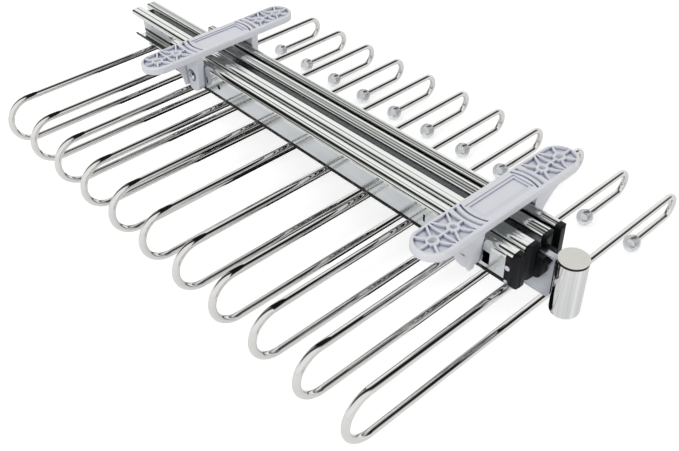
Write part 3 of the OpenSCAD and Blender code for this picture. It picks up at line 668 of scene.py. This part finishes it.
def strip_colour(tree, where, on_web, groove_off, top, web):
    """Top or web colour times clouds, times a painted shade line beside the groove, times painted shade in
    the gaps.
    """
    # The web's colour is painted darker and bluer than the top's, as shade
    tone = add_node(tree, "ShaderNodeMix", {"data_type": "RGBA", 6: linear(top), 7: linear(web)},
                    {0: on_web.outputs["Result"]})
    # Long clouds in the plating, ten times longer along the strip than across it
    long_way = add_node(tree, "ShaderNodeMapping", {"Scale": (1.0, 0.1, 1.0)},
                        {"Vector": where.outputs["Object"]})
    cloud = add_node(tree, "ShaderNodeTexNoise", {"Scale": 1 / (9 * MM), "Detail": 5.0},
                     {"Vector": long_way.outputs["Vector"]})
    cloudy = add_node(tree, "ShaderNodeMapRange", {"To Min": 0.86, "To Max": 1.1},
                      {"Value": cloud.outputs["Fac"]})
    clouded = add_node(tree, "ShaderNodeVectorMath", {"operation": "SCALE"}, {
        0: tone.outputs[2], "Scale": cloudy.outputs["Result"]})
    # Painted shade lies in and beside the roll groove as a dark line
    painted_shade_line = add_node(
        tree, "ShaderNodeMapRange", {"From Min": SHADE_LINE_FULL, "From Max": SHADE_LINE_GONE, "To Min": 0.05},
        {"Value": groove_off.outputs[0]})
    lined = add_node(tree, "ShaderNodeVectorMath", {"operation": "SCALE"}, {
        0: clouded.outputs["Vector"], "Scale": painted_shade_line.outputs["Result"]})
    # The gaps between the members are deep and little light comes back out of them, so they get painted shade
    open_air = add_node(tree, "ShaderNodeAmbientOcclusion", {"samples": 8, "Distance": 2.5 * MM})
    painted_gap_shade = add_node(tree, "ShaderNodeMapRange", {"From Min": 0.25, "From Max": 0.7, "To Min": 0.08},
                          {"Value": open_air.outputs["AO"]})
    return add_node(tree, "ShaderNodeVectorMath", {"operation": "SCALE"}, {
        0: lined.outputs["Vector"], "Scale": painted_gap_shade.outputs["Result"]})


# The width over which the painted shade line is black
print("the groove's dirt is black over", round(SHADE_LINE_FULL * 2000, 1), "mm")


# %% Rolled and plated strip
def rolled_zinc(name, top, web, rough_top, rough_web):
    """Zinc plated strip whose rolled top is a bright mirror and whose flat web is satin, with its colour
    painted darker and bluer as shade.
    """
    material, tree, shader = new_material(name)
    where = add_node(tree, "ShaderNodeTexCoord")
    place = add_node(tree, "ShaderNodeSeparateXYZ", links={0: where.outputs["Object"]})
    aside = add_node(tree, "ShaderNodeMath", {"operation": "ABSOLUTE"}, {0: place.outputs["X"]})
    up_or_down = off_height(tree, place, MIDDLE_Z)
    groove_off = off_height(tree, place, GROOVE_Z)
    on_web = add_node(tree, "ShaderNodeMapRange", {
        "interpolation_type": "SMOOTHSTEP", "From Min": WEB_FLAT, "From Max": WEB_BENT,
        "To Min": 1.0, "To Max": 0.0}, {"Value": up_or_down.outputs[0]})
    # Rolling lines are hundreds of times longer than they are wide. Real ones are finer than a tenth of a
    # millimetre, and here they are drawn 0.8 mm apart so that they show
    lines_way = add_node(tree, "ShaderNodeMapping", {"Scale": (1.0, 0.004, 1.0)},
                         {"Vector": where.outputs["Object"]})
    lines = add_node(tree, "ShaderNodeTexNoise", {"Scale": 1 / LINE_PITCH, "Detail": 3.0},
                     {"Vector": lines_way.outputs["Vector"]})
    gloss = add_node(tree, "ShaderNodeMapRange", {"To Min": rough_top, "To Max": rough_web},
                     {"Value": on_web.outputs["Result"]})
    rub = add_node(tree, "ShaderNodeMapRange", {"To Min": 0.7, "To Max": 1.4},
                   {"Value": lines.outputs["Fac"]})
    rough = add_node(tree, "ShaderNodeMath", {"operation": "MULTIPLY"}, {
        0: gloss.outputs["Result"], 1: rub.outputs["Result"]})
    # In the slide's hollow nothing was polished, so it is duller and less of a mirror there
    hollow = in_hollow(tree, aside, up_or_down)
    dull = add_node(tree, "ShaderNodeMath", {"operation": "MULTIPLY_ADD", 1: 0.35}, {
        0: hollow.outputs[0], 2: rough.outputs[0]})
    bare = add_node(tree, "ShaderNodeMapRange", {"To Min": 1.0, "To Max": 0.4}, {"Value": hollow.outputs[0]})
    colour = strip_colour(tree, where, on_web, groove_off, top, web)
    relief = strip_relief(tree, place, aside, groove_off, lines)
    tree.links.new(colour.outputs["Vector"], shader.inputs["Base Color"])
    tree.links.new(dull.outputs[0], shader.inputs["Roughness"])
    tree.links.new(bare.outputs["Result"], shader.inputs["Metallic"])
    tree.links.new(relief.outputs["Normal"], shader.inputs["Normal"])
    return material


# The second colour is the web's, with painted shade
slide_zinc = rolled_zinc("zinc_plated_rolled_strip", "#e4e6e3", "#d8dcdf", rough_top=0.05, rough_web=0.1)
SIDES = ("left", "right")
for side in SIDES:
    for member in ("outer", "intermediate", "drawer"):
        finish_node(f"{side}_{member}_member", slide_zinc)
print("strip finish:", slide_zinc.name)

# %% [markdown]
# ## The bar
#
# The bar is plain drawn tube with the same plating. It is satin, with long faint clouds, and it is painted
# dark down in the slot between the slides as shade, where little light comes.

# %% Plated flat tube
bar_zinc, tree, shader = new_material("zinc_plated_flat_tube")
where = add_node(tree, "ShaderNodeTexCoord")
long_way = add_node(tree, "ShaderNodeMapping", {"Scale": (1.0, 0.1, 1.0)},
                    {"Vector": where.outputs["Object"]})
cloud = add_node(tree, "ShaderNodeTexNoise", {"Scale": 1 / (8 * MM), "Detail": 5.0},
                 {"Vector": long_way.outputs["Vector"]})
tone = add_node(tree, "ShaderNodeMix", {"data_type": "RGBA", 6: linear("#b6bac1"), 7: linear("#cfd3d9")},
                {0: cloud.outputs["Fac"]})
# Painted shade: the colour darkens where the slides close round the bar
open_air = add_node(tree, "ShaderNodeAmbientOcclusion", {"samples": 8, "Distance": 9 * MM})
painted_slot_shade = add_node(tree, "ShaderNodeMath", {"operation": "POWER", 1: 1.5}, {0: open_air.outputs["AO"]})
colour_with_painted_shade = add_node(tree, "ShaderNodeVectorMath", {"operation": "SCALE"}, {
    0: tone.outputs[2], "Scale": painted_slot_shade.outputs[0]})
rub = add_node(tree, "ShaderNodeMapRange", {"To Min": 0.15, "To Max": 0.26}, {"Value": cloud.outputs["Fac"]})
shader.inputs["Metallic"].default_value = 1.0
tree.links.new(colour_with_painted_shade.outputs["Vector"], shader.inputs["Base Color"])
tree.links.new(rub.outputs["Result"], shader.inputs["Roughness"])
finish_node("centre_bar", bar_zinc)
print("bar finish:", bar_zinc.name)

# %% [markdown]
# ## Bearings
#
# Inside each slide, pressed steel cages hold rows of hardened balls. They hardly show, but they run in thin
# grease, so the cages are a duller steel and the balls a dark mirror.

# %% Cages and balls
cage_steel, tree, shader = new_material("pressed_steel_cage")
where = add_node(tree, "ShaderNodeTexCoord")
film = add_node(tree, "ShaderNodeTexNoise", {"Scale": 1 / (7 * MM), "Detail": 4.0},
                {"Vector": where.outputs["Object"]})
tone = add_node(tree, "ShaderNodeMix", {"data_type": "RGBA", 6: linear("#8d9294"), 7: linear("#aab0b2")},
                {0: film.outputs["Fac"]})
rub = add_node(tree, "ShaderNodeMapRange", {"To Min": 0.28, "To Max": 0.45}, {"Value": film.outputs["Fac"]})
tree.links.new(tone.outputs[2], shader.inputs["Base Color"])
tree.links.new(rub.outputs["Result"], shader.inputs["Roughness"])
shader.inputs["Metallic"].default_value = 1.0

bearing_steel = bright_chrome("ground_bearing_steel", "#c9cccf", rough=0.08, wave_mm=3, depth_mm=0.002)
for side in SIDES:
    for where_it_runs in ("outer", "drawer"):
        finish_node(f"{side}_{where_it_runs}_ball_cage", cage_steel)
        finish_node(f"{side}_{where_it_runs}_balls", bearing_steel)
print("bearings in", cage_steel.name, "and", bearing_steel.name)

# %% [markdown]
# ## Black plastic ends
#
# The bumpers and plugs in front of the slides are moulded in black polyamide, satin with a faint flow
# pattern. Black plastic is a very dark grey: its look comes from the soft highlight on each edge, so they get
# rounded edges as the brackets do.

# %% Black polyamide
black_nylon, tree, shader = new_material("moulded_black_polyamide")
where = add_node(tree, "ShaderNodeTexCoord")
flow = add_node(tree, "ShaderNodeTexNoise", {"Scale": 1 / (12 * MM), "Detail": 4.0},
                {"Vector": where.outputs["Object"]})
tone = add_node(tree, "ShaderNodeMix", {"data_type": "RGBA", 6: linear("#090a0d"), 7: linear("#121418")},
                {0: flow.outputs["Fac"]})
# The mould's fine pits, drawn at 0.5 mm so that they show
pits = add_node(tree, "ShaderNodeTexNoise", {"Scale": 1 / (0.5 * MM), "Detail": 2.0},
                {"Vector": where.outputs["Object"]})
skin = add_node(tree, "ShaderNodeBump", {"Strength": 0.4, "Distance": 0.02 * MM},
                {"Height": pits.outputs["Fac"]})
sheen = add_node(tree, "ShaderNodeMapRange", {"To Min": 0.3, "To Max": 0.45}, {"Value": flow.outputs["Fac"]})
tree.links.new(tone.outputs[2], shader.inputs["Base Color"])
shader.inputs["Specular IOR Level"].default_value = 0.15
tree.links.new(sheen.outputs["Result"], shader.inputs["Roughness"])
tree.links.new(skin.outputs["Normal"], shader.inputs["Normal"])
shader.inputs["IOR"].default_value = 1.53
for side in SIDES:
    for member, body in (("intermediate", f"{side}_middle"), ("drawer", "carriage")):
        softened(f"{side}_{member}_end_cap", black_nylon, edge_mm=0.8, body=body)
finish_node("handle_insert", black_nylon)
print("ends in", black_nylon.name)

# %% [markdown]
# ## Screws and rivets
#
# Small hardware is zinc plated too: clear passivated on the cheeks and the rivets, yellow passivated where
# the drawer members meet the bar.

# %% Hardware
bright_screw = bright_chrome("clear_passivated_zinc_screw", "#d9dcde", rough=0.14, wave_mm=2, depth_mm=0.004)
yellow_screw = bright_chrome("yellow_passivated_zinc_screw", "#d8c27c", rough=0.2, wave_mm=2, depth_mm=0.004)
for name in ("cheek_screws", "left_cap_rivets", "right_cap_rivets", "handle_screw"):
    finish_node(name, bright_screw)
finish_node("bar_screws", yellow_screw)
print("hardware in", bright_screw.name, "and", yellow_screw.name)

# %% [markdown]
# ## The handle
#
# The handle is a turned cylinder in bright chrome, with a pale plastic disc let into its top. Drawing and
# polishing leave long faint streaks along the cylinder. Below its pale top the disc is painted black as the
# groove's shade, which shows as a line.

# %% Polished tube
polished, tree, shader = new_material("polished_chrome_tube")
where = add_node(tree, "ShaderNodeTexCoord")
streak_way = add_node(tree, "ShaderNodeMapping", {"Scale": (1.0, 1.0, 0.02)},
                      {"Vector": where.outputs["Object"]})
streaks = add_node(tree, "ShaderNodeTexNoise", {"Scale": 1 / (5 * MM), "Detail": 2.0},
                   {"Vector": streak_way.outputs["Vector"]})
spread = add_node(tree, "ShaderNodeMapRange", {"From Min": 0.35, "From Max": 0.65},
                  {"Value": streaks.outputs["Fac"]})
tone = add_node(tree, "ShaderNodeMix", {"data_type": "RGBA", 6: linear("#c9cacc"), 7: linear("#ececeb")},
                {0: spread.outputs["Result"]})
rub = add_node(tree, "ShaderNodeMapRange", {"To Min": 0.04, "To Max": 0.11},
               {"Value": streaks.outputs["Fac"]})
tree.links.new(tone.outputs[2], shader.inputs["Base Color"])
tree.links.new(rub.outputs["Result"], shader.inputs["Roughness"])
shader.inputs["Metallic"].default_value = 1.0
softened("handle", polished, edge_mm=0.7, body="carriage")
print("handle in", polished.name)

# %% Pale disc
# The disc's pale part is the top 0.4 mm, and the painted black shade of the groove begins 0.1 mm below it
PALE_T, SHADE_BELOW = 0.4 * MM, 0.5 * MM
disc, tree, shader = new_material("moulded_pale_disc_with_painted_shade")
where = add_node(tree, "ShaderNodeTexCoord")
cloud = add_node(tree, "ShaderNodeTexNoise", {"Scale": 1 / (5 * MM), "Detail": 4.0},
                 {"Vector": where.outputs["Object"]})
tone = add_node(tree, "ShaderNodeMix", {"data_type": "RGBA", 6: linear("#d6d5cd"), 7: linear("#dddcd6")},
                {0: cloud.outputs["Fac"]})
place = add_node(tree, "ShaderNodeSeparateXYZ", links={0: where.outputs["Object"]})
disc_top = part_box("handle_cap")[1][2]
above_painted_shade = add_node(
    tree, "ShaderNodeMapRange", {"From Min": disc_top - SHADE_BELOW, "From Max": disc_top - PALE_T},
    {"Value": place.outputs["Z"]})
# Painted shade: below its pale top the disc's colour is black
with_painted_groove_shade = add_node(tree, "ShaderNodeMix", {"data_type": "RGBA", 6: linear("#0d0d0e")}, {
    0: above_painted_shade.outputs["Result"], 7: tone.outputs[2]})
skin = add_node(tree, "ShaderNodeBump", {"Strength": 0.4, "Distance": 0.02 * MM},
                {"Height": cloud.outputs["Fac"]})
tree.links.new(with_painted_groove_shade.outputs[2], shader.inputs["Base Color"])
tree.links.new(skin.outputs["Normal"], shader.inputs["Normal"])
shader.inputs["Roughness"].default_value = 0.35
softened("handle_cap", disc, edge_mm=0.5, body="carriage")
print("disc in", disc.name)
